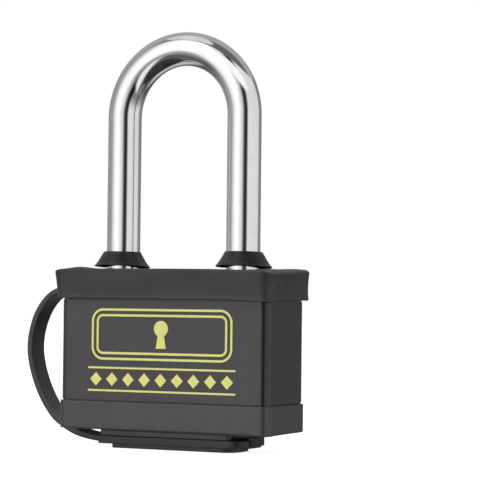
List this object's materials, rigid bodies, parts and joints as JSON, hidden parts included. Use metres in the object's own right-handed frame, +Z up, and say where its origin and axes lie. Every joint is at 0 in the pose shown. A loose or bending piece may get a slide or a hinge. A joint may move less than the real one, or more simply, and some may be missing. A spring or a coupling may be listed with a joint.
{
  "type": "padlock",
  "caption": "Weatherproof long-shackle padlock with a lifting chrome shackle, soft top cap, strap-held keyway cover, key core and sliding latch.",
  "frame": {"origin": "on the flat pad under the keyway cover, on which the lock stands, below the middle of the body", "axes": "+X to the right of the front face, along the body's width; -Y out of the front face; +Z up, along the shackle legs"},
  "size_m": [0.0796, 0.0264, 0.1112],
  "materials": {
    "chrome": "mirror-bright chrome plate",
    "seal_rubber": "matt black rubber",
    "cap_rubber": "satin black soft plastic",
    "sleeve": "semi-gloss dark lacquered plastic",
    "gold_ink": "pale gold pad print",
    "cast_block": "rough casting",
    "base_plastic": "satin black plastic",
    "steel": "zinc-plated steel",
    "cover_rubber": "matt black rubber",
    "brass": "turned brass",
    "hardened_steel": "hardened steel"
  },
  "bodies": {
    "root": {"body_shell": "sleeve", "lock_block": "cast_block", "top_cap": "cap_rubber", "strap": "cap_rubber", "bottom_cap": "base_plastic", "base_screws": "steel", "front_mark": "gold_ink", "core_housing": "brass", "housing_pin": "steel", "drill_plate": "hardened_steel", "side_plug": "cast_block", "heel_pin": "steel", "heel_spring": "steel", "latch_spring": "steel"},
    "shackle": {"shackle": "chrome", "shackle_seal_left": "seal_rubber", "shackle_seal_right": "seal_rubber"},
    "core": {"key_core": "brass", "vane_springs": "steel"},
    "latch": {"latch_bolt": "hardened_steel"},
    "cover": {"keyway_cover": "cover_rubber"},
    "vane_1": {"vane_1": "brass"},
    "vane_2": {"vane_2": "brass"},
    "vane_3": {"vane_3": "brass"},
    "vane_4": {"vane_4": "brass"},
    "vane_5": {"vane_5": "brass"},
    "vane_6": {"vane_6": "brass"}
  },
  "joints": [
    {"name": "shackle_lift", "type": "slide", "parent": "root", "child": "shackle", "axis": [0, 0, 1], "range_m": [0, 0.016], "deforming": ["heel_spring"]},
    {"name": "core_turn", "type": "hinge", "parent": "root", "child": "core", "pos_m": [0, 0, 0.02], "axis": [0, 0, 1], "range_deg": [-90, 0]},
    {"name": "latch_slide", "type": "slide", "parent": "root", "child": "latch", "axis": [1, 0, 0], "range_m": [0, 0.00312], "deforming": ["latch_spring"]},
    {"name": "cover_swing", "type": "hinge", "parent": "root", "child": "cover", "pos_m": [-0.0212, 0, 0.00115], "axis": [0, 1, 0], "range_deg": [0, 100]},
    {"name": "vane_1_slide", "type": "slide", "parent": "core", "child": "vane_1", "axis": [0, 1, 0], "range_m": [0, 0.0008], "deforming": ["vane_springs"]},
    {"name": "vane_2_slide", "type": "slide", "parent": "core", "child": "vane_2", "axis": [0, 1, 0], "range_m": [0, 0.0008]},
    {"name": "vane_3_slide", "type": "slide", "parent": "core", "child": "vane_3", "axis": [0, 1, 0], "range_m": [0, 0.0008]},
    {"name": "vane_4_slide", "type": "slide", "parent": "core", "child": "vane_4", "axis": [0, 1, 0], "range_m": [0, 0.0008]},
    {"name": "vane_5_slide", "type": "slide", "parent": "core", "child": "vane_5", "axis": [0, 1, 0], "range_m": [0, 0.0008]},
    {"name": "vane_6_slide", "type": "slide", "parent": "core", "child": "vane_6", "axis": [0, 1, 0], "range_m": [0, 0.0008]}
  ],
  "couplings": [
    {"joint": "latch_slide", "follows": "core_turn", "m_per_rad": -0.0019807},
    {"joint": "vane_2_slide", "follows": "vane_1_slide", "ratio": 1},
    {"joint": "vane_3_slide", "follows": "vane_1_slide", "ratio": 1},
    {"joint": "vane_4_slide", "follows": "vane_1_slide", "ratio": 1},
    {"joint": "vane_5_slide", "follows": "vane_1_slide", "ratio": 1},
    {"joint": "vane_6_slide", "follows": "vane_1_slide", "ratio": 1}
  ]
}
